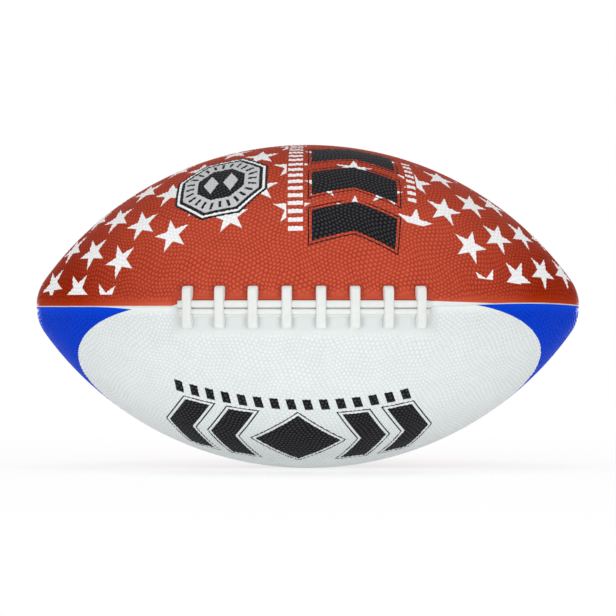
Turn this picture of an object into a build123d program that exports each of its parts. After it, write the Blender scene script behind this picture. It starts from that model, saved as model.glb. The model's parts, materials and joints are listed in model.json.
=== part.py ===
from build123d import *
import math
import os

# American football of moulded rubber, lying on its side with the lace facing -Y.
# X runs along the ball, +Z is up, and the origin is the middle of the ball. Millimetres.

# Ball outline: two large side arcs joined to round tips
ball_length = 285.0
ball_diameter = 169.6
tip_radius = 24.0

# Layers of the wall, from the outside in, with a line of glue between neighbours
cover_wall = 1.5
carcass_wall = 0.5
winding_wall = 0.4
bladder_wall = 0.7
glue_line = 0.1

# Shallow moulded groove where two cover panels meet
seam_groove_width = 1.6
seam_groove_depth = 0.5

# Lace: a pad over the front seam, two rails along it and a row of bars across them
lace_bar_count = 8
lace_bar_pitch = 16.9
lace_bar_width = 5.4
lace_bar_foot = 5.6
lace_bar_bridge = 1.4
lace_bar_end_round = 2.6
lace_bar_edge_round_share = 0.8
lace_rail_width = 3.4
lace_rail_height = 1.3
lace_rail_parting = 0.4
lace_rail_overhang = 1.8
lace_rail_corner_round = 1.0
lace_rail_edge_round = 0.6
lace_pad_margin = 1.5
lace_pad_height = 0.6
lace_pad_edge_round = 0.3
lace_shift = -1.9

# Inflation valve in the upper back panel: a housing through the wall and a push-in core
valve_angle = 20.0
valve_recess = 0.4
valve_neck_wall = 1.6
valve_pouch_wall = 1.8
valve_pouch_floor = 1.5
valve_flange_rim = 10.0
valve_flange_wall = 1.0
valve_patch_rim = 7.0
valve_patch_wall = 0.6
valve_air_hole_diameter = 1.8
core_shank_diameter = 4.6
core_shank_length = 12.0
core_head_lip = 0.9
core_head_height = 1.2
core_clearance = 0.1
core_end_chamfer = 0.6
needle_bore_diameter = 2.2
needle_bore_depth = 9.0
needle_bore_chamfer = 0.4
core_slit_width = 0.2
core_slit_length = 1.6

# How far a cutting shape runs past the face that it cuts
overrun = 2.0

# Ball outline, worked out
half_length = ball_length / 2
half_width = ball_diameter / 2
tip_centre = half_length - tip_radius
side_radius = (tip_centre**2 + half_width**2 - tip_radius**2) / (2 * (half_width - tip_radius))
side_drop = side_radius - half_width
join_angle = math.degrees(math.atan2(tip_centre, side_drop))
tip_angle = 90 - join_angle

# Depth of each layer's outer face under the ball's surface
carcass_depth = cover_wall + glue_line
winding_depth = carcass_depth + carcass_wall + glue_line
bladder_depth = winding_depth + winding_wall + glue_line
flange_depth = bladder_depth + bladder_wall + glue_line
patch_depth = flange_depth + valve_flange_wall + glue_line

# Lace levels above the ball's surface, and widths across the seam
pad_top = glue_line + lace_pad_height
rail_bottom = pad_top + glue_line
rail_top = rail_bottom + lace_rail_height
bar_bottom = rail_top + glue_line
bar_top = bar_bottom + lace_bar_bridge
rails_half_width = lace_rail_parting / 2 + lace_rail_width
pad_half_width = rails_half_width + lace_pad_margin
bar_half_length = pad_half_width + lace_bar_foot
bars_half_span = ((lace_bar_count - 1) * lace_bar_pitch + lace_bar_width) / 2
rails_half_span = bars_half_span + lace_rail_overhang
pad_half_span = rails_half_span + lace_pad_margin

# Valve sizes that follow the core
core_shank_radius = core_shank_diameter / 2
core_head_radius = core_shank_radius + core_head_lip
core_length = core_head_height + core_shank_length
shank_bore_radius = core_shank_radius + core_clearance
head_bore_radius = core_head_radius + core_clearance
neck_radius = head_bore_radius + valve_neck_wall
pouch_radius = shank_bore_radius + valve_pouch_wall
flange_radius = neck_radius + valve_flange_rim
patch_radius = pouch_radius + glue_line + valve_patch_rim
shank_bore_depth = core_length + core_clearance
pouch_depth = shank_bore_depth + valve_pouch_floor
needle_bore_radius = needle_bore_diameter / 2
valve_turn = math.radians(valve_angle)
valve_direction = Vector(0, math.cos(valve_turn), math.sin(valve_turn))
valve_seat = half_width - valve_recess
valve_face = Plane(origin=valve_direction * valve_seat, x_dir=(1, 0, 0), z_dir=valve_direction)


def meridian_plane(angle):
    """Plane through the ball's axis whose own Y points outward at an angle about X from +Y."""
    turn = math.radians(angle)
    return Plane(origin=(0, 0, 0), x_dir=(1, 0, 0), z_dir=(0, -math.sin(turn), math.cos(turn)))


def half_outline(depth):
    """Closed half outline of the ball in its own XY plane, a depth under its surface."""
    with BuildLine() as outline:
        CenterArc((tip_centre, 0), tip_radius - depth, 0, tip_angle)
        CenterArc((0, -side_drop), side_radius - depth, tip_angle, 2 * join_angle)
        CenterArc((-tip_centre, 0), tip_radius - depth, 90 + join_angle, tip_angle)
        Line((depth - half_length, 0), (half_length - depth, 0))
    return outline.edges()


def ball_solid(depth):
    """Whole ball, a depth under its surface."""
    with BuildPart() as ball:
        with BuildSketch(meridian_plane(0)):
            make_face(half_outline(depth))
        revolve(axis=Axis.X)
    return ball.part


def wall_layer(depth, wall, start_angle=0, turn_angle=360):
    """Shell of the ball between two depths, turned about X from a start angle."""
    with BuildPart() as layer:
        with BuildSketch(meridian_plane(start_angle)):
            make_face(half_outline(depth))
            make_face(half_outline(depth + wall), mode=Mode.SUBTRACT)
        revolve(axis=Axis.X, revolution_arc=turn_angle)
    return layer.part


def whole_outline(depth):
    """Closed outline of the ball in its own XY plane, a depth under its surface."""
    with BuildLine() as outline:
        CenterArc((tip_centre, 0), tip_radius - depth, -tip_angle, 2 * tip_angle)
        CenterArc((0, -side_drop), side_radius - depth, tip_angle, 2 * join_angle)
        CenterArc((-tip_centre, 0), tip_radius - depth, 90 + join_angle, 2 * tip_angle)
        CenterArc((0, side_drop), side_radius - depth, 180 + tip_angle, 2 * join_angle)
    return outline.edges()


def seam_channel(angle):
    """Flat ring that cuts the groove along the two seams of one meridian plane."""
    with BuildPart() as channel:
        with BuildSketch(meridian_plane(angle)):
            make_face(whole_outline(-overrun))
            make_face(whole_outline(seam_groove_depth), mode=Mode.SUBTRACT)
        extrude(amount=seam_groove_width / 2, both=True)
    return channel.part


def valve_disc(depth, wall, rim_radius):
    """Disc on the valve's axis that follows the curve of the ball's wall between two depths."""
    layer = wall_layer(depth, wall, start_angle=valve_angle - 90, turn_angle=180)
    with BuildPart() as disc:
        add(layer)
        with BuildSketch(valve_face):
            Circle(rim_radius)
        extrude(amount=-half_width, mode=Mode.INTERSECT)
    return disc.part


def lace_strip(bottom, top, half_span, inner_edge, outer_edge):
    """Strip along the front seam between two heights, from one distance above it to another."""
    turn = math.degrees(half_span / side_radius)
    middle = 270 + math.degrees(lace_shift / side_radius)
    with BuildPart() as strip:
        with BuildSketch(Plane.XY.offset(inner_edge)):
            with BuildLine():
                under = CenterArc((0, side_drop), side_radius + bottom, middle - turn, 2 * turn)
                over = CenterArc((0, side_drop), side_radius + top, middle - turn, 2 * turn)
                Line(under @ 0, over @ 0)
                Line(under @ 1, over @ 1)
            make_face()
        extrude(amount=outer_edge - inner_edge)
    return strip.part


def lace_station(distance):
    """Plane across the lace at a distance along the ball's surface from its middle."""
    turn = distance / side_radius
    outward = Vector(math.sin(turn), -math.cos(turn), 0)
    along = Vector(math.cos(turn), math.sin(turn), 0)
    return Plane(origin=Vector(0, side_drop, 0) + outward * side_radius, x_dir=(0, 0, 1), z_dir=along)


def write(piece, name):
    """Labels a finished piece and writes its file."""
    piece.part.label = name
    export_step(piece.part, f"parts/{name}.step")


os.makedirs("parts", exist_ok=True)

# Hole through the wall for the valve's neck
with BuildPart() as neck_hole:
    with BuildSketch(valve_face.offset(overrun)):
        Circle(neck_radius + glue_line)
    extrude(amount=-(overrun + flange_depth + overrun))

# Bladder, nylon winding and carcass: three sealed shells under the cover
inner_layers = {
    "bladder": wall_layer(bladder_depth, bladder_wall),
    "nylon_winding": wall_layer(winding_depth, winding_wall),
    "carcass_layer": wall_layer(carcass_depth, carcass_wall),
}
for name, shell in inner_layers.items():
    with BuildPart() as inner_layer:
        add(shell)
        add(neck_hole.part, mode=Mode.SUBTRACT)
    write(inner_layer, name)

# Four cover panels, a quarter of the ball each, glued edge to edge with a groove along every seam
seam_channels = [seam_channel(0), seam_channel(90)]
panel_starts = {
    "panel_back_upper": 0,
    "panel_front_upper": 90,
    "panel_front_lower": 180,
    "panel_back_lower": 270,
}
for name, start in panel_starts.items():
    half_cover = wall_layer(0, cover_wall, start_angle=start - 45, turn_angle=180)
    with BuildPart() as panel:
        add(half_cover)
        split(bisect_by=meridian_plane(start).offset(glue_line / 2), keep=Keep.TOP)
        split(bisect_by=meridian_plane(start + 90).offset(-glue_line / 2), keep=Keep.BOTTOM)
        for channel in seam_channels:
            add(channel, mode=Mode.SUBTRACT)
        add(neck_hole.part, mode=Mode.SUBTRACT)
    write(panel, name)

# Lace pad over the front seam
pad_strip = lace_strip(glue_line, pad_top, pad_half_span, -pad_half_width, pad_half_width)
with BuildPart() as lace_pad:
    add(pad_strip)
    corners = lace_pad.edges().filter_by(GeomType.LINE).filter_by(Axis.Z, reverse=True)
    fillet(corners, radius=lace_pad_margin)
    rims = lace_pad.faces().filter_by(GeomType.CYLINDER).sort_by(Face.area)[-1].edges()
    fillet(rims, radius=lace_pad_edge_round)
write(lace_pad, "lace_pad")

# Two rails along the pad
for name, side in {"lace_rail_upper": 1, "lace_rail_lower": -1}.items():
    rail_strip = lace_strip(
        rail_bottom, rail_top, rails_half_span, side * lace_rail_parting / 2, side * rails_half_width
    )
    with BuildPart() as lace_rail:
        add(rail_strip)
        corners = lace_rail.edges().filter_by(GeomType.LINE).filter_by(Axis.Z, reverse=True)
        fillet(corners, radius=lace_rail_corner_round)
        rims = lace_rail.faces().filter_by(GeomType.CYLINDER).sort_by(Face.area)[-1].edges()
        fillet(rims, radius=lace_rail_edge_round)
    write(lace_rail, name)

# Bars across the rails: each bridges the rails and stands on the cover with a foot on either side
bar_seat = ball_solid(-glue_line)
channels = {pad_half_width + glue_line: pad_top + glue_line, rails_half_width + glue_line: bar_bottom}
for number in range(lace_bar_count):
    station = lace_shift + (number - (lace_bar_count - 1) / 2) * lace_bar_pitch
    bar_plane = lace_station(station)
    tilt = station / side_radius
    cross_radius = (side_radius * math.cos(tilt) - side_drop) / math.cos(tilt)
    crown_radius = cross_radius + bar_top
    crown_turn = math.degrees(math.asin(bar_half_length / crown_radius))
    with BuildPart() as lace_bar:
        with BuildSketch(bar_plane):
            with BuildLine():
                crown = CenterArc((0, -cross_radius), crown_radius, 90 - crown_turn, 2 * crown_turn)
                Polyline(crown @ 0, (bar_half_length, -overrun), (-bar_half_length, -overrun), crown @ 1)
            face = make_face()
            fillet(face.vertices().group_by(Axis.Y)[-1], radius=lace_bar_end_round)
        extrude(amount=lace_bar_width / 2, both=True)
        bar_axis = Axis(bar_plane.origin, bar_plane.z_dir)
        outward_axis = Axis(bar_plane.origin, bar_plane.y_dir)
        rims = lace_bar.faces().filter_by(bar_axis).edges().sort_by(outward_axis)[2:]
        fillet(rims, radius=lace_bar_bridge * lace_bar_edge_round_share)
        with BuildSketch(bar_plane):
            for channel_half_width, channel_top in channels.items():
                with Locations((0, -overrun)):
                    Rectangle(
                        2 * channel_half_width, overrun + channel_top, align=(Align.CENTER, Align.MIN)
                    )
        extrude(amount=lace_bar_width, both=True, mode=Mode.SUBTRACT)
        add(bar_seat, mode=Mode.SUBTRACT)
    write(lace_bar, f"lace_bar_{number + 1}")

# Valve housing: flange under the bladder, neck out through the wall, pouch inward for the core
flange = valve_disc(flange_depth, valve_flange_wall, flange_radius)
with BuildPart() as valve_housing:
    add(flange)
    with BuildSketch(valve_face):
        Circle(neck_radius)
    extrude(amount=-(flange_depth + valve_flange_wall - valve_recess))
    with BuildSketch(valve_face):
        Circle(pouch_radius)
    extrude(amount=-pouch_depth)
    with Locations(valve_face):
        CounterBoreHole(shank_bore_radius, head_bore_radius, core_head_height, shank_bore_depth)
        Hole(valve_air_hole_diameter / 2, pouch_depth + overrun)
write(valve_housing, "valve_housing")

# Reinforcing patch glued over the flange on the inside
patch = valve_disc(patch_depth, valve_patch_wall, patch_radius)
with BuildPart() as valve_patch:
    add(patch)
    with Locations(valve_face):
        Hole(pouch_radius + glue_line, pouch_depth)
write(valve_patch, "valve_patch")

# Push-in valve core with a blind bore for an inflating needle and a slit that air passes
with BuildPart() as valve_core:
    with BuildSketch(valve_face):
        Circle(core_head_radius)
    extrude(amount=-core_head_height)
    with BuildSketch(valve_face):
        Circle(core_shank_radius)
    extrude(amount=-core_length)
    valve_axis = Axis(valve_face.origin, valve_face.z_dir)
    chamfer(valve_core.edges().sort_by(valve_axis)[0], length=core_end_chamfer)
    with Locations(valve_face):
        CounterSinkHole(
            needle_bore_radius, needle_bore_radius + needle_bore_chamfer, needle_bore_depth, 90
        )
    with BuildSketch(valve_face.offset(-needle_bore_depth)):
        Rectangle(core_slit_length, core_slit_width)
    extrude(amount=-core_length, mode=Mode.SUBTRACT)
write(valve_core, "valve_core")
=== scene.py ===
import json
import math

import bmesh
import bpy
import numpy as np
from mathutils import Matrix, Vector
from mathutils.geometry import delaunay_2d_cdt


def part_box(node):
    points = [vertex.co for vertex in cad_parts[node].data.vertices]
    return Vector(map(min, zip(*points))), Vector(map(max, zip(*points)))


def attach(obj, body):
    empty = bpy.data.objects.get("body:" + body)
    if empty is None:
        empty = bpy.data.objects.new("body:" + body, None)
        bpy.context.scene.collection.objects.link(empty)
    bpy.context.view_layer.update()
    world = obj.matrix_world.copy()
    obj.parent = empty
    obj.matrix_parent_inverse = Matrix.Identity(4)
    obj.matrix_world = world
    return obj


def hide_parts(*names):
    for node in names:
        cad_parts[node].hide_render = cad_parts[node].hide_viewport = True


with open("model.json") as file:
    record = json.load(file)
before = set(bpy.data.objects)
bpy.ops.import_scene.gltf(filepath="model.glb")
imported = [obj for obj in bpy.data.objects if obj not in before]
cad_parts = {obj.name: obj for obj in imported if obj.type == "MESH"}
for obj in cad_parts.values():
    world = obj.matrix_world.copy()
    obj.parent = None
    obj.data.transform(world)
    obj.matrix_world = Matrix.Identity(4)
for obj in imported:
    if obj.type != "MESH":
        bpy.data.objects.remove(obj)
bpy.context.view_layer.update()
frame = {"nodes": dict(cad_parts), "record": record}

# American football of moulded rubber. X runs along the ball, the lace faces -Y and +Z is up.
# Lengths are in millimetres until a mesh is written, which is in metres.
MM = 0.001

# Ball outline, from the part's own mounts
mounts = {mount["name"]: mount for mount in frame["record"]["mounts"]}
half_length = mounts["tip_right"]["pos_m"][0] / MM
half_width = -mounts["side_rest"]["pos_m"][2] / MM
tip_radius = mounts["tip_right"]["dims"]["r_mm"]
tip_centre = half_length - tip_radius
side_radius = (tip_centre**2 + half_width**2 - tip_radius**2) / (2 * (half_width - tip_radius))
side_drop = side_radius - half_width
join_turn = math.atan2(tip_centre, side_drop)
side_reach = side_radius * join_turn
ball_reach = side_reach + tip_radius * (math.pi / 2 - join_turn)

# Cover panels: a quarter of the ball each, with a groove along the seams
panel_half_swing = math.pi / 4
panel_wall = 1.5
panel_gap = 0.01
panel_tip_gap = 0.15
groove_depth = 0.32
groove_floor = 0.25
groove_edge = 1.1
seam_rows = (panel_gap, 0.3, 0.6, 0.85, 1.1, 1.6)
seam_station_pitch = 1.7
seam_drift = math.radians(3.3)
seam_drift_run = (48.0, 166.0)
lining_pitch = 14.0
merge_distance = 1e-7

# Pebbles of the cover, in wavy staggered rows
pebble_row_pitch = 2.0
pebble_step = 2.25
pebble_jitter = 0.17
pebble_depth = 0.42
pebble_shoulder_share = 0.57
pebble_shoulder_drop_share = 0.26
pebble_shoulder_shade_share = 0.3
pebble_height_spread = 0.05
pebble_wave_height = 1.3
pebble_wave_length = 29.0
pebble_wave_lean = 0.35
pebble_margin = 2.6
pebble_fade = 2.5
pebble_edge_rise_share = 0.45
pebble_rise_spread_share = 0.25

# Starts and lengths in the square for baking: along the panel, and across its face and its lining
bake_along = (0.01, 0.98)
bake_face = (0.01, 0.92)
bake_lining = (0.95, 0.04)

# Smooth field round the lace and round the valve
lace_middle = -1.9
lace_field_half_span = 66.0
lace_field_upper = 6.4
lace_field_lower = 13.6
lace_fields = {"panel_front_upper": (-1, lace_field_upper), "panel_front_lower": (1, lace_field_lower)}
valve_hole_radius = 5.0
valve_rings = (valve_hole_radius, 5.3, 5.8, 6.6, 7.8, 9.0)
valve_ring_points = 48
valve_field_radius = 9.6
valve_dish_depth = 0.25

# Lace: heights above the ball's surface and places across the seam, a little under which it sits
lace_drop = 0.5
pad_top = 0.7
pad_half_width = 5.1
pad_half_span = 64.95
pad_corner_round = 1.5
pad_edge_round = 0.5
pad_squareness = 7.0
rail_edges = {"upper": (-0.25, 3.5), "lower": (-3.55, -0.6)}
rail_half_span = 63.65
rail_bottom = 0.7
rail_top = 2.1
rail_end_round = 1.2
rail_squareness = 3.2
bar_half_width = 2.55
bar_half_length = 10.7
bar_top = 3.6
bar_corner_round = 1.0
bar_end_round = 3.3
bar_squareness = 4.4
bar_seat_gap = 0.1
bar_step_half_width = 0.02
bar_nodes = sorted(name for name in frame["nodes"] if name.startswith("lace_bar_"))
bar_middles = {node: sum(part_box(node), Vector()) / 2 / MM for node in bar_nodes}

# Strips of the lace: how many rings and how far they crowd towards the ends, then the section
strip_rings = (121, 1.25)
bar_rings = (45, 1.5)
section_points = 17
section_sharp_angle = math.radians(45)

# Colours as they print, in sRGB
red_ink = (0.848, 0.376, 0.276)
# Painted shade and sheen: the red deepens to this towards the tips, where less light falls, and stays paler
# in the middle
red_tip_shade_ink = (0.68, 0.186, 0.0)
blue_ink = (0.0, 0.26, 0.845)
black_ink = (0.035, 0.035, 0.05)
grey_ink = (0.82, 0.82, 0.825)
white_ink = (0.99, 0.985, 0.985)
white_rubber = (0.915, 0.932, 0.928)
lace_white = (0.905, 0.915, 0.91)

# Tones that deepen a colour, in sRGB: painted shade at the red's upper seam, between the pebbles, on the
# field round the lace, beside its bars and in the lace's creases, then random mottle; and the painted
# highlight that lightens black on the pebbles' tops, with the levels between which a colour counts as black
red_top_shade_tone = (0.886, 0.727, 0.594)
red_valley_shade_tone = (0.82, 0.60, 0.53)
blue_valley_shade_tone = (0.80, 0.84, 0.90)
white_valley_shade_tone = (0.90, 0.91, 0.92)
lace_field_shade_tone = (0.935, 0.94, 0.94)
bar_shade_tone = (0.945, 0.95, 0.95)
red_lace_field_shade_tone = (0.92, 0.87, 0.86)
red_bar_shade_tone = (0.91, 0.88, 0.87)
crease_shade_tone = (0.74, 0.72, 0.72)
red_mottle = (0.93, 0.92, 0.92)
white_mottle = (0.97, 0.97, 0.97)
lace_mottle = (0.95, 0.95, 0.94)
pad_mottle = (0.95, 0.94, 0.94)
black_top_highlight = (0.25, 0.25, 0.265)
top_highlight_levels = (0.03, 0.012)

# Where painted shade round the lace and beside its bars reaches and fades, and how soft an edge of the print
# is
print_edge = 0.12
lace_shade_fade = 2.0
bar_shade_tone_reach = 3.6
bar_shade_tone_fade = 1.5

# Painted shade in thin lines in the creases either side of the upper rail: place across the seam, half width
# and soft edge
crease_shade_lines = ((rail_edges["upper"][1], 0.55, 0.4), (-0.43, 0.22, 0.2))

# Finishes: roughness, its spread, grain to the metre and the grain's height.
# Inner layers have a roughness each.
rubber_specular = 0.035
cover_finish = (0.42, 0.12, 2600.0, 0.03)
lace_finish = (0.42, 0.14, 2200.0, 0.02)
pad_finish = (0.45, 0.14, 2200.0, 0.02)
nylon_finish = (0.5, 0.2, 900.0, 0.05)
inner_finish = (0.2, 1800.0, 0.04)
cover_mottle_scale = 90.0
lace_mottle_scale = 240.0
inner_mottle_scale = 160.0

# Red print: bare margins along the seams, wider at the lace, and where painted shade deepens the red towards
# the tips and the upper seam
red_seam_margin = 0.22
red_lace_margin = 2.2
red_margin_left = (-68.0, -61.0)
red_margin_right = (94.5, 64.0)
red_tip_shade_run = (45.0, 135.0)
red_top_shade_shares = (0.62, 0.2)

# Stars in staggered rows that bend along the panel
star_radius = 10.0
star_notch_share = 0.382
star_turn = math.radians(89.3)
star_twist = math.radians(-4.6)
star_pitch = 31.99
star_row_pitch = 15.11
star_staggers = (0.2332, -0.2534)
star_rows_middle = -1.89
star_rows_tilt = 1.4
star_rows_bow = -2.57
star_rows_skew = -1.43
star_rows_spread = 0.0005
star_bend_reach = 100.0
star_crown_reach = 120.0
star_crown_rise = 4.51
star_crown_fan = 0.058

# Where stars stay away: margins along the seams, a bare field at the lace and a cut star
star_left_margin = 6.0
star_right_margin = 26.2
star_right_margin_slope = -0.135
star_margin_steepness = 200.0
star_bare_half_width = 93.0
star_bare_half_height = 50.0
star_bare_top = -22.0
star_cut_middle = (57.0, -29.8)
star_cut_half_size = 14.0

# Columns of white rungs: place along the panel and half width, then the middle and half run across it
# of the rungs and of the field that stays clear of stars
rung_columns = ((-6.3, 3.8, (14.0, 44.0), (0.0, 60.0)), (53.8, 2.3, (18.0, 21.0), (18.0, 24.0)))
rung_pitch = 5.2
rung_half_height = 1.3
rung_clearance = 0.8

# Black shapes with a line round them, and the stack of chevrons on the red panel
outline_gap = 1.3
outline_width = 0.7
stack_middle = 24.0
stack_start = -22.0
stack_pitch = 28.0
stack_count = 3
stack_lead = 5.0
stack_half_span = 22.0
stack_half_thick = 9.0
stack_slope = 0.32

# Octagon on the red panel, with rims, ticks and two lozenges
plate_middle = (-45.0, 11.0)
plate_radius = 24.5
plate_rims = {1.3: white_ink, 2.6: black_ink, 4.4: grey_ink}
plate_tick_turn = math.pi / 24
plate_tick_radius = 16.6
plate_tick_half_length = 2.2
plate_tick_half_width = 0.75
plate_hub_radius = 12.4
plate_lozenge_aside = 5.2
plate_lozenge_half_sizes = (4.0, 7.6)

# White print: an eye between blue ends, whose margin along the seams is wider at the left
eye_middle = (1.35, -0.7)
eye_half_sizes = (132.65, 71.0)
eye_lift_slope = 0.0055
blue_seam_margin = 0.28
blue_left_margin = 1.5
blue_left_run = (-130.0, -100.0)

# Row of dashes over a lozenge between chevrons, on the white panel
device_middle = (-5.0, -13.5)
device_half_sizes = (22.0, 20.0)
device_chevrons = (39.0, 62.0)
device_chevron_half_thick = 6.5
device_chevron_slope = 0.5
dash_row = 13.7
dash_row_half_run = 63.0
dash_pitch = 8.4
dash_lean = 0.25
dash_half_sizes = (2.2, 3.3)

# Inner layers and valve: name of the finish, colour, mottled tone and roughness
inner_rubbers = {
    "carcass_layer": ("carcass_rubber", (0.16, 0.16, 0.17), (0.75, 0.75, 0.78), 0.6),
    "bladder": ("bladder_rubber", (0.11, 0.11, 0.12), (0.7, 0.7, 0.72), 0.42),
    "valve_housing": ("valve_rubber", (0.13, 0.13, 0.135), (0.8, 0.8, 0.8), 0.45),
    "valve_patch": ("patch_rubber", (0.17, 0.16, 0.16), (0.8, 0.8, 0.8), 0.55),
    "valve_core": ("core_rubber", (0.19, 0.19, 0.2), (0.82, 0.82, 0.82), 0.4),
}
thread_pitch = 1.2
thread_slopes = (-0.6, 0.6)
thread_colour = (0.86, 0.85, 0.80)
thread_gap_colour = (0.62, 0.60, 0.52)

# Floor and light, in metres and watts: each lamp's name, place, size and power
floor_half_size = 40.0
floor_white = (0.97, 0.97, 0.97, 1.0)
floor_roughness = 0.9
floor_glow = 0.24
floor_shadow_reach = 0.45
floor_shadow_share = 0.4
ambient_strength = 0.505
lamps = (
    ("key", (-0.1, -1.6, 0.6), (0.7, 0.7), 0.9),
    ("top", (0.0, -0.15, 1.6), (0.9, 0.9), 4.8),
    ("low_front_left", (-0.8, -1.35, -0.06), (0.4, 0.04), 4.9),
    ("low_front_right", (0.8, -1.35, -0.06), (0.4, 0.04), 4.9),
    ("low_back_left", (-0.8, 1.35, -0.06), (0.4, 0.04), 3.6),
    ("low_back_right", (0.8, 1.35, -0.06), (0.4, 0.04), 3.6),
)

# Camera, with the photograph's own sizes in pixels
camera_distance = 1.5
sensor_width = 36.0
photo_size = 616
photo_focal_length = 2855.0
photo_ball_middle = (307.8, 306.4)


def linear(colour):
    """Linear colour of an sRGB one, with full opacity."""
    return tuple(c / 12.92 if c <= 0.04045 else ((c + 0.055) / 1.055) ** 2.4 for c in colour) + (1.0,)


def smoothstep(low, high, value):
    """Smooth rise from 0 to 1 between two values."""
    share = np.clip((np.asarray(value, float) - low) / (high - low), 0, 1)
    return share * share * (3 - 2 * share)


# Ball surface


def meridian(u):
    """Place along the axis, distance from it and lean of the surface at a distance from its middle."""
    u = np.asarray(u, float)
    beyond = np.maximum(np.abs(u) - side_reach, 0)
    turn = np.minimum(np.abs(u), side_reach) / side_radius + beyond / tip_radius
    on_tip = beyond > 0
    x = np.where(on_tip, tip_centre + tip_radius * np.sin(turn), side_radius * np.sin(turn))
    rho = np.where(on_tip, tip_radius * np.cos(turn), side_radius * np.cos(turn) - side_drop)
    return np.sign(u) * x, rho, np.sign(u) * turn


def surface(u, angle):
    """Points of the ball's surface and their normals, at an angle about X from +Y."""
    x, rho, turn = meridian(u)
    angle = np.asarray(angle, float)
    points = np.stack([x, rho * np.cos(angle), rho * np.sin(angle)], axis=-1)
    lean = np.cos(turn)
    normals = np.stack([np.sin(turn), lean * np.cos(angle), lean * np.sin(angle)], axis=-1)
    return points, normals


def drift(u):
    """How far the seams of a real ball wander round it towards its right tip."""
    return seam_drift * smoothstep(*seam_drift_run, u)


def flatten(u, swing):
    """Places on a panel's flat sheet of points at a distance along it and a swing from its middle."""
    _, rho, turn = meridian(u)
    bend = swing * np.sin(turn)
    almost_none = 1e-9
    safe = np.where(np.abs(bend) < almost_none, almost_none, bend)
    along = u + rho * swing * (1 - np.cos(safe)) / safe
    across = rho * swing * np.sin(safe) / safe
    return np.stack([along, across], axis=-1)


# Mesh pieces


def add_object(name, data):
    """New object in the scene."""
    made = bpy.data.objects.new(name, data)
    bpy.context.scene.collection.objects.link(made)
    return made


def add_mesh(name, points, faces, body, nodes):
    """Mesh piece in metres that rides on a body and stands for CAD nodes."""
    mesh = bpy.data.meshes.new(name)
    mesh.from_pydata((np.asarray(points) * MM).tolist(), [], faces)
    mesh.update()
    mesh.shade_smooth()
    piece = add_object(name, mesh)
    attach(piece, body)
    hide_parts(*nodes)
    return piece


def add_uv(mesh, name, places):
    """UV map with one place for each vertex."""
    corners = np.empty(len(mesh.loops), np.int32)
    mesh.loops.foreach_get("vertex_index", corners)
    layer = mesh.uv_layers.new(name=name)
    layer.uv.foreach_set("vector", np.asarray(places, np.float32)[corners].ravel())


# Cover panels


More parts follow.
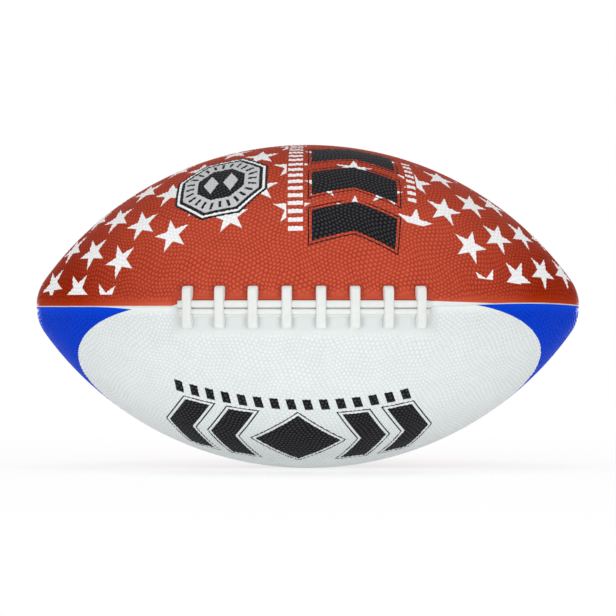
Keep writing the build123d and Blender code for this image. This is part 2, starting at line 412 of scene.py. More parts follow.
class Panel:
    """One cover panel: where it lies, how its pebbles run and what stays smooth on it."""

    def __init__(self, node, middle, pebbles_along, slot):
        self.node = node
        self.middle = math.radians(middle)
        self.pebbles_along = pebbles_along
        self.slot = slot
        self.lace_field = lace_fields.get(node)
        self.valve_swing = None
        if node == "panel_back_upper":
            axis = mounts["needle_bore"]["axis"]
            self.valve_swing = self.middle - math.atan2(axis[2], axis[1])

    def angle(self, u, swing):
        """Angle about X from +Y of points at a swing from the panel's middle."""
        return self.middle - swing - drift(u)

    def maps(self, u, swing):
        """Place on the flat sheet, then the distances from the panel's lower and upper seams."""
        rho = meridian(u)[1]
        seams = np.stack([rho * (panel_half_swing + swing), rho * (panel_half_swing - swing)], axis=-1)
        return np.concatenate([flatten(u, swing + drift(u)), seams], axis=-1)

    def seam_distance(self, u, swing):
        """Distance across the panel to its nearer seam."""
        return meridian(u)[1] * (panel_half_swing - np.abs(swing))

    def lace_distance(self, u, swing):
        """How far a point lies outside the smooth field round the lace."""
        if not self.lace_field:
            return np.full(np.shape(u), np.inf)
        side, width = self.lace_field
        across = meridian(u)[1] * (panel_half_swing - side * swing) - width
        along = np.abs(u - lace_middle) - lace_field_half_span
        return np.maximum(across, along)

    def valve_distance(self, u, swing):
        """Distance from the middle of the valve."""
        if self.valve_swing is None:
            return np.full(np.shape(u), np.inf)
        return np.hypot(u, half_width * (swing - self.valve_swing))

    def pebbles(self, shuffle):
        """Staggered rows of pebbles, gently wavy, with how far each one rises."""
        count = int(ball_reach / pebble_row_pitch) + 1
        numbers = np.arange(-count, count + 1)
        row, step = np.meshgrid(numbers, numbers, indexing="ij")
        major = (row * pebble_row_pitch).ravel()
        minor = ((step + 0.5 * (row % 2)) * pebble_step).ravel()
        u, v = (minor, major) if self.pebbles_along else (major, minor)
        wave = 2 * math.pi / pebble_wave_length
        lean = pebble_wave_lean
        u, v = (
            u + pebble_wave_height * np.sin(wave * (v + lean * u)),
            v + pebble_wave_height * np.sin(wave * (u - lean * v)),
        )
        u = u + pebble_jitter * shuffle.uniform(-1, 1, len(u))
        v = v + pebble_jitter * shuffle.uniform(-1, 1, len(v))
        inside = np.abs(u) < ball_reach - pebble_margin
        u, v = u[inside], v[inside]
        rho = meridian(u)[1]
        inside = np.abs(v) < rho * panel_half_swing - pebble_margin
        u, swing = u[inside], (v / rho)[inside]
        room = np.minimum(self.seam_distance(u, swing) - pebble_margin, self.lace_distance(u, swing))
        room = np.minimum(room, self.valve_distance(u, swing) - valve_field_radius)
        keep = self.valve_distance(u, swing) > valve_field_radius
        edge = pebble_edge_rise_share
        rise = np.where(room > 0, edge + (1 - edge) * smoothstep(0, pebble_fade, room), 0)
        rise *= 1 - pebble_rise_spread_share * shuffle.random(len(rise))
        return u[keep], swing[keep], rise[keep]

    def seams(self):
        """Rows of points along the two seams; the first row of each is the panel's edge."""
        reach = ball_reach - panel_tip_gap
        stations = np.linspace(-reach, reach, 2 * int(reach / seam_station_pitch))
        rho = meridian(stations)[1]
        rows_u, rows_swing = [], []
        for side in (-1, 1):
            for distance in seam_rows:
                keep = rho * panel_half_swing > distance + panel_gap / 2
                row_u = stations[keep][::-side]
                rows_u.append(row_u)
                rows_swing.append(side * (panel_half_swing - distance / meridian(row_u)[1]))
        lengths = [len(row) for row in rows_u]
        starts = np.concatenate([[0], np.cumsum(lengths)])
        second = len(seam_rows)
        edge = list(range(starts[0], starts[1])) + list(range(starts[second], starts[second + 1]))
        return np.concatenate(rows_u), np.concatenate(rows_swing), edge

    def valve_points(self):
        """Rings of points round the valve's hole; the first ring is the hole."""
        turns = np.linspace(0, 2 * math.pi, valve_ring_points, endpoint=False)
        u = np.concatenate([radius * np.cos(turns) for radius in valve_rings])
        v = np.concatenate([radius * np.sin(turns) for radius in valve_rings])
        return u, self.valve_swing + v / meridian(u)[1]

    def lining_points(self):
        """Sparse points for the lining."""
        count = int(ball_reach / lining_pitch)
        steps = np.arange(-count, count + 1) * lining_pitch
        u, v = np.meshgrid(steps, steps)
        u, v = u.ravel(), v.ravel()
        rho = meridian(u)[1]
        keep = np.abs(v) < rho * panel_half_swing - lining_pitch / 2
        u, swing = u[keep], (v / rho)[keep]
        keep = self.valve_distance(u, swing) > valve_field_radius
        return u[keep], swing[keep]


def triangulate(places, edge, hole):
    """Triangles between points of a flat sheet, inside its edge and outside its hole."""
    hole_edges = [(hole[i - 1], hole[i]) for i in range(len(hole))]
    coords = [Vector(place) for place in places.tolist()]
    only_inside = 1
    made, _, faces, *_ = delaunay_2d_cdt(coords, hole_edges, [edge], only_inside, merge_distance)
    if len(made) != len(coords):
        raise ValueError("two points of a panel fall together")
    faces = np.array(faces)
    if hole:
        in_hole = np.isin(faces, hole).all(axis=1)
        faces = faces[~in_hole]
    return faces


def half_edges(faces):
    """Edges of triangles as they run round them, and the edge that runs back along each, or -1."""
    start = faces.ravel()
    end = np.roll(faces, -1, axis=1).ravel()
    size = faces.max() + 1
    key = start.astype(np.int64) * size + end
    order = np.argsort(key)
    twin_key = end.astype(np.int64) * size + start
    found = np.searchsorted(key[order], twin_key)
    found = np.minimum(found, len(key) - 1)
    twin = np.where(key[order][found] == twin_key, order[found], -1)
    return start, end, twin


def pebble_faces(faces, rise):
    """Faces that give each raised point a shouldered pebble with valleys between pebbles.

    New points follow the old ones: a valley for every triangle, then a shoulder for every corner.
    """
    count, triangles = len(rise), len(faces)
    raised = rise > 0
    has_valley = raised[faces].any(axis=1)
    start, end, twin = half_edges(faces)
    triangle = np.repeat(np.arange(triangles), 3)
    corner = np.arange(3 * triangles)
    # The corner of the triangle across an edge that shares the edge's start is that edge's next one
    across = np.where(twin >= 0, twin // 3, -1)
    across_corner = np.where(twin >= 0, 3 * (twin // 3) + (twin % 3 + 1) % 3, -1)
    valley = count + triangle
    valley_across = count + across
    shoulder = count + triangles + corner
    shoulder_across = count + triangles + across_corner
    here = has_valley[triangle]
    both = here & (across >= 0) & has_valley[across]
    pebble = both & raised[start]
    plain = both & ~raised[start]
    rim = here & ~both
    tops = np.stack([start, shoulder_across, shoulder], axis=1)[pebble]
    sides = np.stack([shoulder_across, valley_across, valley, shoulder], axis=1)[pebble]
    skirts = np.stack([start, valley_across, valley], axis=1)[plain]
    rims = np.stack([start, end, valley], axis=1)[rim]
    flats = faces[~has_valley]
    return [tops, skirts, rims, flats], sides


def face_places(panel, shuffle):
    """Places on a panel's face, how far each rises as a pebble, and the points of its edge and hole."""
    seam_u, seam_swing, edge = panel.seams()
    pebble_u, pebble_swing, pebble_rise = panel.pebbles(shuffle)
    u, swing = [seam_u, pebble_u], [seam_swing, pebble_swing]
    rise = [np.zeros(len(seam_u)), pebble_rise]
    hole = []
    if panel.valve_swing is not None:
        valve_u, valve_swing = panel.valve_points()
        first = len(seam_u) + len(pebble_u)
        hole = list(range(first, first + valve_ring_points))
        u.append(valve_u)
        swing.append(valve_swing)
        rise.append(np.zeros(len(valve_u)))
    return np.concatenate(u), np.concatenate(swing), np.concatenate(rise), edge, hole


def pebbled_face(panel, u, swing, rise, faces, shuffle):
    """Points of a panel's face, their maps and their relief, in the order that pebble_faces counts them.

    Valleys lie at the middles of triangles, and shoulders part of the way to them.
    """
    lift = -groove_depth * (1 - smoothstep(groove_floor, groove_edge, panel.seam_distance(u, swing)))
    valve_room = panel.valve_distance(u, swing)
    lift -= valve_dish_depth * (1 - smoothstep(valve_hole_radius, valve_field_radius, valve_room))
    lift -= pebble_height_spread * shuffle.random(len(u)) * (rise > 0)
    top = np.column_stack([*surface(u, panel.angle(u, swing)), panel.maps(u, swing)])
    valley = top[faces].mean(axis=1)
    corner, middle = faces.ravel(), np.repeat(np.arange(len(faces)), 3)
    share = pebble_shoulder_share
    shoulder = top[corner] * (1 - share) + valley[middle] * share
    mean_rise = rise[faces].mean(axis=1)
    valley_lift = lift[faces].mean(axis=1) - pebble_depth * mean_rise
    shoulder_lift = lift[corner] - pebble_shoulder_drop_share * pebble_depth * mean_rise[middle]
    shoulder_relief = 1 - pebble_shoulder_shade_share * mean_rise[middle]
    places = np.concatenate([top, valley, shoulder])
    lifts = np.concatenate([lift, valley_lift, shoulder_lift])
    relief = np.concatenate([np.ones(len(u)), 1 - mean_rise, shoulder_relief])
    points, normals, maps = np.split(places, [3, 6], axis=1)
    return points + normals * lifts[:, None], maps, relief


def panel_lining(panel, u, swing, border, edge_count):
    """Plain inner face of a panel, whose first points lie under the border of its outer face."""
    lining_u, lining_swing = panel.lining_points()
    u = np.concatenate([u[border], lining_u])
    swing = np.concatenate([swing[border], lining_swing])
    maps = panel.maps(u, swing)
    edge = list(range(edge_count))
    hole = list(range(edge_count, len(border)))
    faces = triangulate(maps[:, :2], edge, hole)[:, ::-1]
    points, normals = surface(u, panel.angle(u, swing))
    return points - panel_wall * normals, maps, faces


def bake_places(sheet, inner):
    """Places for baking: the face fills most of the square and the lining a narrow band over it."""
    spread = np.abs(sheet).max(axis=0)
    share = sheet / spread / 2 + 0.5
    x = bake_along[0] + bake_along[1] * share[:, 0]
    start, length = np.where(inner[:, None], bake_lining, bake_face).T
    return np.stack([x, start + length * share[:, 1]], axis=1)


def make_panel(panel, shuffle):
    """Closed panel: pebbled face, side walls and a plain lining."""
    u, swing, rise, edge, hole = face_places(panel, shuffle)
    faces = triangulate(panel.maps(u, swing)[:, :2], edge, hole)
    points, maps, relief = pebbled_face(panel, u, swing, rise, faces, shuffle)
    border = np.array(edge + hole)
    inner_points, inner_maps, inner_faces = panel_lining(panel, u, swing, border, len(edge))

    # Walls from the open edges of the face down to the lining
    base = len(points)
    start, end, twin = half_edges(faces)
    start, end = start[twin < 0], end[twin < 0]
    under = np.full(len(u), -1)
    under[border] = base + np.arange(len(border))
    walls = np.stack([end, start, under[start], under[end]], axis=1)

    # All of it together, without the points that no face uses
    triangles, sides = pebble_faces(faces, rise)
    triangles = np.concatenate(triangles + [inner_faces + base])
    quads = np.concatenate([sides, walls])
    points = np.concatenate([points, inner_points])
    maps = np.concatenate([maps, inner_maps])
    relief = np.concatenate([relief, np.ones(len(inner_points))])
    used = np.zeros(len(points), bool)
    used[triangles] = True
    used[quads] = True
    renumber = np.cumsum(used) - 1
    all_faces = renumber[triangles].tolist() + renumber[quads].tolist()
    name = panel.node.replace("panel", "cover")
    piece = add_mesh(name, points[used], all_faces, "ball", [panel.node])
    mesh = piece.data
    sheet, seams = np.split(maps[used], 2, axis=1)
    add_uv(mesh, "Sheet", sheet)
    add_uv(mesh, "Seams", seams)
    add_uv(mesh, "OFBake", bake_places(sheet, np.flatnonzero(used) >= base))
    attribute = mesh.attributes.new("relief", "FLOAT", "POINT")
    attribute.data.foreach_set("value", relief[used].astype(np.float32))
    return piece


# Materials


def math_method(operation, *numbers):
    """Method of a field that puts it and other numbers through an operation."""

    def method(field, *others):
        return field.math(operation, *others, *numbers)

    return method


class Field:
    """Number that varies over a surface, worked out by math nodes from ordinary operators."""

    def __init__(self, tree, socket):
        self.tree = tree
        self.socket = socket

    def math(self, operation, *others, clamp=False):
        node = self.tree.nodes.new("ShaderNodeMath")
        node.operation = operation
        node.use_clamp = clamp
        for place, value in enumerate((self,) + others):
            if isinstance(value, Field):
                self.tree.links.new(value.socket, node.inputs[place])
            else:
                node.inputs[place].default_value = value
        return Field(self.tree, node.outputs[0])

    __add__ = math_method("ADD")
    __sub__ = math_method("SUBTRACT")
    __mul__ = math_method("MULTIPLY")
    __truediv__ = math_method("DIVIDE")
    __neg__ = math_method("MULTIPLY", -1.0)
    __abs__ = math_method("ABSOLUTE")
    nearest = math_method("ROUND")
    most = math_method("MAXIMUM")
    least = math_method("MINIMUM")

    def square(self):
        return self * self

    def stepped(self, pitch):
        """The nearest whole number of pitches."""
        return (self / pitch).nearest() * pitch

    def ramp(self, start, end):
        """Straight rise from 0 at a start to 1 at an end."""
        return (self - start).math("DIVIDE", end - start, clamp=True)

    def within(self, limit, fade):
        """1 under a limit and 0 over it, with a straight fall that reaches as far as the fade."""
        return self.ramp(limit + fade, limit - fade)

    def inside(self, soft=print_edge):
        """1 where the number is under zero and 0 over it, with a soft edge."""
        return (self * (-1 / soft)).math("ADD", 0.5, clamp=True)


class Paint:
    """Material whose inks are laid one over another."""

    def __init__(self, name, colour):
        self.material = bpy.data.materials.new(name)
        self.material.use_nodes = True
        self.tree = self.material.node_tree
        self.shader = self.tree.nodes["Principled BSDF"]
        self.shader.inputs["Specular IOR Level"].default_value = rubber_specular
        self.colour = linear(colour)

    def parts(self, socket):
        """The three numbers of a vector."""
        node = self.tree.nodes.new("ShaderNodeSeparateXYZ")
        self.tree.links.new(socket, node.inputs[0])
        return [Field(self.tree, output) for output in node.outputs]

    def map(self, name):
        """The two numbers of a UV map."""
        node = self.tree.nodes.new("ShaderNodeUVMap")
        node.uv_map = name
        return self.parts(node.outputs[0])[:2]

    def place(self):
        """Place in the part's own frame, in metres."""
        return self.tree.nodes.new("ShaderNodeTexCoord").outputs["Object"]

    def along(self):
        """Place along the ball, in millimetres."""
        return self.parts(self.place())[0] * (1 / MM)

    def noise(self, scale, detail=3.0):
        node = self.tree.nodes.new("ShaderNodeTexNoise")
        node.inputs["Scale"].default_value = scale
        node.inputs["Detail"].default_value = detail
        self.tree.links.new(self.place(), node.inputs["Vector"])
        return Field(self.tree, node.outputs["Fac"])

    def relief(self):
        """1 on the pebbles' tops, less on their shoulders and least between them."""
        node = self.tree.nodes.new("ShaderNodeAttribute")
        node.attribute_name = "relief"
        return Field(self.tree, node.outputs["Fac"])

    def valleys(self):
        """0 on the pebbles' tops, more on their shoulders and most between them."""
        return -self.relief() + 1.0

    def ink(self, colour, mask, blend="MIX"):
        """Lays a colour over what is there, where the mask is 1."""
        node = self.tree.nodes.new("ShaderNodeMix")
        node.data_type = "RGBA"
        node.blend_type = blend
        factor, under, over = node.inputs[0], node.inputs[6], node.inputs[7]
        self.tree.links.new(mask.socket, factor)
        if isinstance(self.colour, tuple):
            under.default_value = self.colour
        else:
            self.tree.links.new(self.colour, under)
        over.default_value = linear(colour)
        self.colour = node.outputs[2]

    def tone(self, colour, mask):
        """Deepens what is there, where the mask is 1."""
        self.ink(colour, mask, "MULTIPLY")

    def outlined(self, shape):
        """Black shape with a thin black line round it."""
        self.ink(black_ink, shape.inside())
        line_middle = outline_gap + outline_width / 2
        self.ink(black_ink, (abs(shape - line_middle) - outline_width / 2).inside())

    def pebble_painted_light(self):
        """Painted highlight makes black ink paler on the pebbles' tops, and painted shade makes all of the
        print deeper between them.
        """
        node = self.tree.nodes.new("ShaderNodeRGBToBW")
        self.tree.links.new(self.colour, node.inputs[0])
        black = Field(self.tree, node.outputs[0]).ramp(*top_highlight_levels)
        # Painted highlight on the pebbles' tops where the print is black
        self.ink(black_top_highlight, self.relief().square() * black, "ADD")
        # Painted shade between the pebbles
        self.tone(white_valley_shade_tone, self.valleys())

    def lace_shade(self, where, seam, reach, tone, beside_shade):
        """Painted shade on the smooth field round the lace and beside its bars, where a mask is 1."""
        along = self.along()
        ends = abs(along - lace_middle).within(lace_field_half_span, lace_shade_fade)
        # Painted shade on the field round the lace
        self.tone(tone, seam.within(reach, lace_shade_fade) * ends * where)
        bars = [abs(along - middle.x) for middle in bar_middles.values()]
        side = bars[0]
        for bar in bars[1:]:
            side = side.least(bar)
        # Painted shade beside the bars
        beside = side.ramp(bar_half_width + bar_shade_tone_reach, bar_half_width)
        self.tone(beside_shade, beside * seam.within(bar_half_length, bar_shade_tone_fade) * where)

    def finish(self, roughness, roughness_spread, grain, grain_height):
        """Connects the colour, and a fine grain to the gloss and the bump."""
        fine = self.noise(grain)
        self.tree.links.new(self.colour, self.shader.inputs["Base Color"])
        rough = (fine - 0.5) * roughness_spread + roughness
        self.tree.links.new(rough.socket, self.shader.inputs["Roughness"])
        bump = self.tree.nodes.new("ShaderNodeBump")
        bump.inputs["Strength"].default_value = 1.0
        bump.inputs["Distance"].default_value = grain_height * MM
        self.tree.links.new(fine.socket, bump.inputs["Height"])
        self.tree.links.new(bump.outputs[0], self.shader.inputs["Normal"])
        return self.material


# Shapes of the print, as distances in millimetres that are under zero inside


def from_middle(x, y):
    return (x.square() + y.square()).math("SQRT")


def ellipse(x, y, half_x, half_y):
    return (from_middle(x / half_x, y / half_y) - 1.0) * min(half_x, half_y)


def box(x, y, half_x, half_y):
    return (abs(x) - half_x).most(abs(y) - half_y)


def lozenge(x, y, half_x, half_y):
    slant = half_x * half_y / math.hypot(half_x, half_y)
    return (abs(x) / half_x + abs(y) / half_y - 1.0) * slant


def octagon(x, y, radius):
    diagonal = (abs(x) + abs(y)) * math.sqrt(0.5)
    return abs(x).most(abs(y)).most(diagonal) - radius


def chevron(x, y, half_height, half_thick, slope):
    """Arrow head that points along +X."""
    face = 1 / math.hypot(1, slope)
    arms = (abs(x + abs(y) * slope) - half_thick) * face
    return arms.most(abs(y) - half_height)


def star(x, y, radius, turn):
    """Five-pointed star with one tip at a turn from +X."""
    angle = y.math("ARCTAN2", x) - turn
    notch_turn = math.pi / 5
    fold = angle.math("PINGPONG", notch_turn)
    reach = from_middle(x, y)
    along = reach * fold.math("COSINE")
    across = reach * fold.math("SINE")
    notch = radius * star_notch_share
    notch_x = notch * math.cos(notch_turn)
    notch_y = notch * math.sin(notch_turn)
    size = math.hypot(radius - notch_x, notch_y)
    return ((along - radius) * notch_y + across * (radius - notch_x)) / size


# Print of the red panels


def red_ground(paint, x, lower, upper, laced):
    """Red that leaves a white margin along the seams. Painted sheen leaves it paler in the middle, and
    painted shade deepens it towards the tips and the upper seam, between the pebbles and round the lace.
    """
    below = -lower + red_seam_margin
    if laced:
        along = paint.along()
        near_lace = along.ramp(*red_margin_left).least(along.ramp(*red_margin_right))
        below = below + near_lace * red_lace_margin
    printed = below.most(-upper + red_seam_margin).inside()
    paint.ink(red_ink, printed)
    # Painted shade and sheen: paler red in the middle, deeper towards the tips where less light falls
    tips = abs(x).ramp(*red_tip_shade_run).square()
    paint.ink(red_tip_shade_ink, tips * printed)
    # Painted shade: the red deepens towards the upper seam
    top = (upper / (lower + upper)).ramp(*red_top_shade_shares)
    paint.tone(red_top_shade_tone, top * (-tips + 1.0) * printed)
    # Painted shade between the pebbles
    paint.tone(red_valley_shade_tone, paint.valleys() * printed)
    # Painted shade on the field round the lace and beside its bars
    if laced:
        paint.lace_shade(printed, lower, lace_field_upper, red_lace_field_shade_tone, red_bar_shade_tone)
    paint.tone(red_mottle, paint.noise(cover_mottle_scale))


def star_rows(x, y, odd):
    """Stars of every second row. Rows rise and fan out at the middle of the ball, sag towards its tips
    and turn their stars with them."""
    stagger = star_staggers[odd]
    column = (x / star_pitch - stagger).nearest() + stagger
    along = column * star_pitch
    share = along / star_bend_reach
    crown = (-(along / star_crown_reach).square() + 1.0).most(0.0).square()
    bend = ((share * star_rows_skew + star_rows_bow) * share + star_rows_tilt) * share
    bend = bend + crown * star_crown_rise
    middle = star_rows_middle + star_row_pitch * odd
    height = (y - bend - middle).stepped(2 * star_row_pitch) + middle
    star_x = along * (height * star_rows_spread + 1.0)
    star_y = height * (crown * star_crown_fan + 1.0) + bend
    bare_middle = star_bare_top - star_bare_half_height
    bare = box(star_x, star_y - bare_middle, star_bare_half_width, star_bare_half_height)
    return star(x - star_x, y - star_y, star_radius, share * star_twist + star_turn).most(-bare)


def rung_column(x, y, place, half_width, rungs_run, clear_run):
    """Column of rungs, and the field round it that stays clear of stars."""
    rung = y.stepped(rung_pitch)
    middle, half_run = rungs_run
    rungs = box(x - place, y - rung, half_width, rung_half_height).most(abs(rung - middle) - half_run)
    middle, half_run = clear_run
    field = box(x - place, y - middle, half_width + rung_clearance, half_run)
    return rungs, field


def stars_and_rungs(x, y, lower, upper):
    """All the white print on red."""
    right_margin = x * star_right_margin_slope + star_right_margin
    margin = right_margin.least(x * star_margin_steepness + star_left_margin).most(star_left_margin)
    white = star_rows(x, y, 0).least(star_rows(x, y, 1)).most(margin - lower).most(margin - upper)
    cut_x, cut_y = star_cut_middle
    white = white.most(-box(x - cut_x, y - cut_y, star_cut_half_size, star_cut_half_size))
    columns = [rung_column(x, y, *column) for column in rung_columns]
    for _, field in columns:
        white = white.most(-field)
    for rungs, _ in columns:
        white = white.least(rungs)
    return white


def chevron_stack(paint, x, y):
    """Black chevrons one over another."""
    rank = ((y - stack_start) / stack_pitch).nearest().most(0.0).least(stack_count - 1.0)
    up = y - (rank * stack_pitch + stack_start) - stack_lead
    paint.outlined(chevron(up, x - stack_middle, stack_half_span, stack_half_thick, stack_slope))


def octagon_plate(paint, x, y):
    """Rimmed octagon with a ring of ticks round two lozenges."""
    x, y = x - plate_middle[0], y - plate_middle[1]
    plate = octagon(x, y, plate_radius)
    paint.ink(black_ink, plate.inside())
    for rim, colour in plate_rims.items():
        paint.ink(colour, (plate + rim).inside())
    turn = y.math("ARCTAN2", x).math("PINGPONG", plate_tick_turn)
    ring = abs(octagon(x, y, plate_tick_radius)) - plate_tick_half_length
    ticks = (turn * from_middle(x, y) - plate_tick_half_width).most(ring)
    paint.ink(black_ink, ticks.inside())
    paint.ink(black_ink, octagon(x, y, plate_hub_radius).inside())
    paint.ink(grey_ink, lozenge(abs(x) - plate_lozenge_aside, y, *plate_lozenge_half_sizes).inside())


def star_print(name, laced):
    """White rubber printed red, with white stars and rungs and plain generic shapes in black."""
    paint = Paint(name, white_rubber)
    x, y = paint.map("Sheet")
    lower, upper = paint.map("Seams")
    red_ground(paint, x, lower, upper, laced)
    paint.ink(white_ink, stars_and_rungs(x, y, lower, upper).inside())
    chevron_stack(paint, x, y)
    octagon_plate(paint, x, y)
    paint.pebble_painted_light()
    return paint.finish(*cover_finish)


# Print of the white panels


def blue_ends(paint, x, y, lower, upper):
    """Blue between the white eye and a white margin along the seams."""
    eye_x, eye_y = x - eye_middle[0], y - abs(x) * eye_lift_slope - eye_middle[1]
    eye = ellipse(eye_x, eye_y, *eye_half_sizes)
    left = x.ramp(*blue_left_run).square() * x.inside()
    margin = left * blue_left_margin + blue_seam_margin
    blue = (-eye).most(margin - lower.least(upper)).inside()
    paint.ink(blue_ink, blue)
    # Painted shade between the pebbles
    paint.tone(blue_valley_shade_tone, paint.valleys() * blue)


def dashes_and_device(paint, x, y):
    """Row of leaning dashes over a lozenge with chevrons on either side."""
    middle_x, middle_y = device_middle
    dash = x.stepped(dash_pitch)
    row_y = y - dash_row
    dashes = box(x - dash + row_y * dash_lean, row_y, *dash_half_sizes)
    paint.ink(black_ink, dashes.most(abs(dash - middle_x) - dash_row_half_run).inside())
    half_span = device_half_sizes[1]
    paint.outlined(lozenge(x - middle_x, y - middle_y, *device_half_sizes))
    for place in device_chevrons:
        out = abs(x - middle_x) - place
        paint.outlined(chevron(out, y - middle_y, half_span, device_chevron_half_thick, device_chevron_slope))


def eye_print(name, laced):
    """White rubber with blue ends round a white eye, and plain generic shapes in black."""
    paint = Paint(name, white_rubber)
    x, y = paint.map("Sheet")
    lower, upper = paint.map("Seams")
    blue_ends(paint, x, y, lower, upper)
    dashes_and_device(paint, x, y)
    paint.pebble_painted_light()
    # Painted shade on the field round the lace and beside its bars
    if laced:
        paint.lace_shade((-upper).inside(), upper, lace_field_lower, lace_field_shade_tone, bar_shade_tone)
    paint.tone(white_mottle, paint.noise(cover_mottle_scale))
    return paint.finish(*cover_finish)


# Lace


def front(u, v, lift):
    """Points at a distance along the front seam, a distance above it and a height over the surface."""
    points, normals = surface(u, math.pi - (v - lace_drop) / meridian(u)[1])
    return points + normals * np.asarray(lift)[..., None]


def rounded(distance, reach, radius):
    """How much of a height is lost to a round edge of a given radius at the end of a reach."""
    over = np.clip(np.abs(distance) - (reach - radius), 0, radius)
    return radius - np.sqrt(radius**2 - over**2)


def ring_places(count, crowding, reach):
    """Places from one end of a strip to the other, crowded towards its ends."""
    span = np.linspace(-1, 1, count)
    return np.sign(span) * (1 - (1 - np.abs(span)) ** crowding) * reach


def make_strip(name, node, along, half_width, top, base, squareness, place, finish):
    """Closed bar along a line: its section is a superellipse that stands on a base height."""
    sweep = np.linspace(0, 1, section_points)
    start = np.arcsin(np.clip(base / top, 0, 1) ** (squareness / 2))
    turn = start[:, None] + (math.pi - 2 * start[:, None]) * sweep
    across = half_width[:, None] * np.sign(np.cos(turn)) * np.abs(np.cos(turn)) ** (2 / squareness)
    lift = top[:, None] * np.abs(np.sin(turn)) ** (2 / squareness)
    points = place(np.repeat(along[:, None], len(sweep), axis=1), across, lift)
    rings, size = lift.shape
    number = np.arange(rings * size).reshape(rings, size)
    first, second = number[:-1], number[1:]
    quads = np.stack([first, np.roll(first, -1, 1), np.roll(second, -1, 1), second], axis=-1)
    faces = quads.reshape(-1, 4).tolist() + [number[0][::-1].tolist(), number[-1].tolist()]
    piece = add_mesh(name, points.reshape(-1, 3), faces, "ball", [node])
    shape = bmesh.new()
    shape.from_mesh(piece.data)
    bmesh.ops.recalc_face_normals(shape, faces=shape.faces)
    shape.to_mesh(piece.data)
    shape.free()
    piece.data.set_sharp_from_angle(angle=section_sharp_angle)
    piece.data.materials.append(finish)


def lace_paint():
    """White moulded rubber, a little mottled."""
    paint = Paint("lace_rubber", lace_white)
    paint.tone(lace_mottle, paint.noise(lace_mottle_scale))
    return paint.finish(*lace_finish)


def pad_paint():
    """The pad is printed red along its upper edge, up to the rail, with painted shade over it as on the field
    round the lace and in thin lines in the creases beside the rails.
    """
    paint = Paint("lace_pad", white_rubber)
    height = paint.parts(paint.place())[2] * (1 / MM) + lace_drop
    parting, rail_edge = rail_edges["upper"]
    red = (-height + rail_edge).inside()
    # Painted shade over the pad's lower part, as on the field round the lace
    paint.tone(lace_field_shade_tone, (height - parting).inside())
    paint.ink(red_ink, red)
    # Painted shade on the pad's red, as on the red field round the lace
    paint.tone(red_lace_field_shade_tone, red)
    # Painted shade in thin lines in the creases beside the upper rail
    for place, half_width, edge in crease_shade_lines:
        paint.tone(crease_shade_tone, (abs(height - place) - half_width).inside(edge))
    paint.tone(pad_mottle, paint.noise(lace_mottle_scale))
    return paint.finish(*pad_finish)


def make_pad():
    """Low strip over the seam."""
    along = ring_places(*strip_rings, pad_half_span)
    half_width = pad_half_width - rounded(along, pad_half_span, pad_corner_round)
    top = pad_top - rounded(along, pad_half_span, pad_edge_round)
    base = np.zeros(len(along))
    make_strip(
        "lace_bed", "lace_pad", along + lace_middle, half_width, top, base,
        pad_squareness, front, pad_paint(),
    )


def make_rails(white):
    """Two long strands on the pad."""
    along = ring_places(*strip_rings, rail_half_span)
    end_loss = rounded(along, rail_half_span, rail_end_round)
    top = rail_top - end_loss
    base = np.full(len(along), rail_bottom)
    for side, (low, high) in rail_edges.items():
        middle = (low + high) / 2
        half_width = (high - low) / 2 - end_loss
        make_strip(
            f"lace_strand_{side}", f"lace_rail_{side}", along + lace_middle, half_width, top, base,
            rail_squareness, lambda u, v, lift: front(u, v + middle, lift), white,
        )


def make_bars(white):
    """Bars that bridge the rails, step down over the pad and stand on the cover."""
    steps = np.array([rail_edges["upper"][1], pad_half_width]) + bar_seat_gap
    rail_step, pad_step = steps
    edges = np.concatenate([steps - bar_step_half_width, steps + bar_step_half_width])
    across = ring_places(*bar_rings, bar_half_length)
    across = np.sort(np.concatenate([across, edges, -edges]))
    half_width = bar_half_width - rounded(across, bar_half_length, bar_corner_round)
    top = bar_top - rounded(across, bar_half_length, bar_end_round)
    reach = np.abs(across)
    base = np.where(reach < pad_step, pad_top + bar_seat_gap, 0.0)
    base = np.where(reach < rail_step, rail_top + bar_seat_gap, base)
    for node, middle in bar_middles.items():
        station = side_radius * math.atan2(middle.x, side_drop - middle.y)
        make_strip(
            node.replace("bar", "crossbar"), node, across, half_width, top, base,
            bar_squareness, lambda v, u, lift: front(u + station, v, lift), white,
        )


# Valve and inner layers keep their solids and take a finish


def plain_rubber(name, colour, tone, roughness):
    """Moulded rubber or film with a mottled tone and a fine grain."""
    paint = Paint(name, colour)
    paint.tone(tone, paint.noise(inner_mottle_scale))
    return paint.finish(roughness, *inner_finish)


def nylon_paint():
    """Crossed turns of pale thread."""
    paint = Paint("nylon_winding", thread_gap_colour)
    x, y, z = paint.parts(paint.place())
    for slope in thread_slopes:
        turn = y.math("ARCTAN2", z) * (half_width * MM) + x * slope
        thread = (turn * (2 * math.pi / (thread_pitch * MM))).math("SINE")
        paint.ink(thread_colour, (-thread).inside(1.0))
    return paint.finish(*nylon_finish)


def dress_inside():
    finishes = {node: plain_rubber(*rubber) for node, rubber in inner_rubbers.items()}
    finishes["nylon_winding"] = nylon_paint()
    for node, finish in finishes.items():
        materials = frame["nodes"][node].data.materials
        materials.clear()
        materials.append(finish)


# Stage, light and camera


def white_to_camera(tree):
    """1 for rays that show the background and 0 for rays that light the object."""
    path = tree.nodes.new("ShaderNodeLightPath")
    rays = [Field(tree, path.outputs[f"Is {kind} Ray"]) for kind in ("Camera", "Glossy", "Transmission")]
    return rays[0].most(rays[1]).most(rays[2])


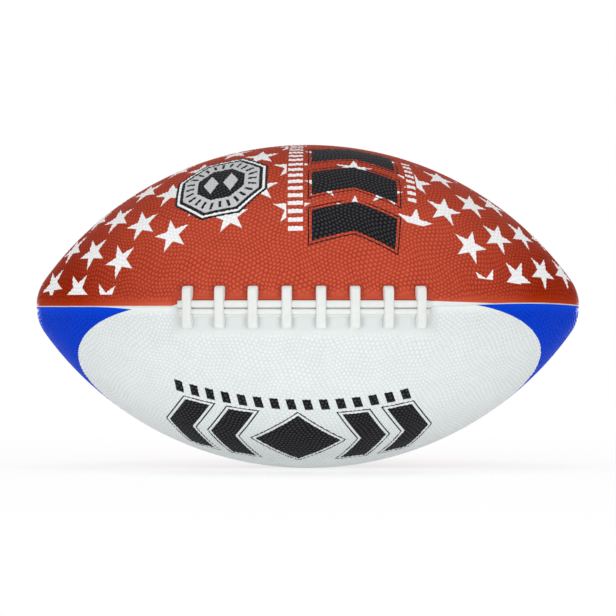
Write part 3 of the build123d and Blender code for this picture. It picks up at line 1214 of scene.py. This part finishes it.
def floor_paper():
    """White paper that the camera sees as plain white, with some of the shadow on it near the ball."""
    material = bpy.data.materials.new("floor_paper")
    material.use_nodes = True
    tree = material.node_tree
    paper = tree.nodes["Principled BSDF"]
    paper.inputs["Base Color"].default_value = floor_white
    paper.inputs["Roughness"].default_value = floor_roughness
    paper.inputs["Emission Color"].default_value = (1.0, 1.0, 1.0, 1.0)
    paper.inputs["Emission Strength"].default_value = floor_glow
    glow = tree.nodes.new("ShaderNodeEmission")
    mix = tree.nodes.new("ShaderNodeMixShader")
    place = tree.nodes.new("ShaderNodeTexCoord")
    distance = tree.nodes.new("ShaderNodeVectorMath")
    distance.operation = "LENGTH"
    tree.links.new(place.outputs["Object"], distance.inputs[0])
    near = Field(tree, distance.outputs["Value"]).ramp(floor_shadow_reach, 0.0)
    plain = white_to_camera(tree) * (near * -floor_shadow_share + 1.0)
    tree.links.new(plain.socket, mix.inputs[0])
    tree.links.new(paper.outputs[0], mix.inputs[1])
    tree.links.new(glow.outputs[0], mix.inputs[2])
    tree.links.new(mix.outputs[0], tree.nodes["Material Output"].inputs["Surface"])
    return material


def make_stage():
    """Level floor that the ball lies on."""
    half, level = floor_half_size, -half_width * MM
    corners = [(-half, -half, level), (half, -half, level), (half, half, level), (-half, half, level)]
    mesh = bpy.data.meshes.new("floor")
    mesh.from_pydata(corners, [], [(0, 1, 2, 3)])
    mesh.materials.append(floor_paper())
    floor = add_object("floor", mesh)


def make_light():
    """White surroundings and soft lamps, each aimed at the middle of the ball."""
    world = bpy.data.worlds.new("studio")
    bpy.context.scene.world = world
    world.use_nodes = True
    tree = world.node_tree
    background = tree.nodes["Background"]
    background.inputs["Color"].default_value = (1.0, 1.0, 1.0, 1.0)
    strength = white_to_camera(tree) * (1.0 - ambient_strength) + ambient_strength
    tree.links.new(strength.socket, background.inputs["Strength"])
    for name, place, size, power in lamps:
        lamp = bpy.data.lights.new(name, "AREA")
        lamp.shape = "ELLIPSE"
        lamp.size, lamp.size_y = size
        lamp.energy = power
        holder = add_object(name, lamp)
        holder.location = place
        holder.rotation_euler = (-Vector(place)).to_track_quat("-Z", "Y").to_euler()


def make_camera():
    """Level camera in front of the lace, set so that the ball lies where it does in the photograph."""
    camera = bpy.data.cameras.new("camera")
    camera.sensor_width = sensor_width
    camera.lens = sensor_width * photo_focal_length / photo_size
    holder = add_object("camera", camera)
    scale = camera_distance / photo_focal_length
    aside = (photo_size / 2 - photo_ball_middle[0]) * scale
    below = (photo_ball_middle[1] - photo_size / 2) * scale
    holder.location = (aside, -camera_distance, below)
    holder.rotation_euler = (math.pi / 2, 0.0, 0.0)
    bpy.context.scene.camera = holder


# The whole ball: red and white panels by turns, the front two with the lace between them.
# Each has the angle of its middle from +Y and says whether its rows of pebbles run along it.
shuffle_seed = 7
panels = [
    (Panel("panel_front_upper", 135, False, "cover_red"), star_print("cover_red_front", True)),
    (Panel("panel_front_lower", 225, True, "cover_white"), eye_print("cover_white_front", True)),
    (Panel("panel_back_lower", 315, False, "cover_red"), star_print("cover_red_back", False)),
    (Panel("panel_back_upper", 45, True, "cover_white"), eye_print("cover_white_back", False)),
]
shuffle = np.random.default_rng(shuffle_seed)
for panel, cover_print in panels:
    make_panel(panel, shuffle).data.materials.append(cover_print)
lace_rubber = lace_paint()
make_pad()
make_rails(lace_rubber)
make_bars(lace_rubber)
dress_inside()
make_stage()
make_light()
make_camera()
bpy.context.scene.view_settings.view_transform = "Standard"
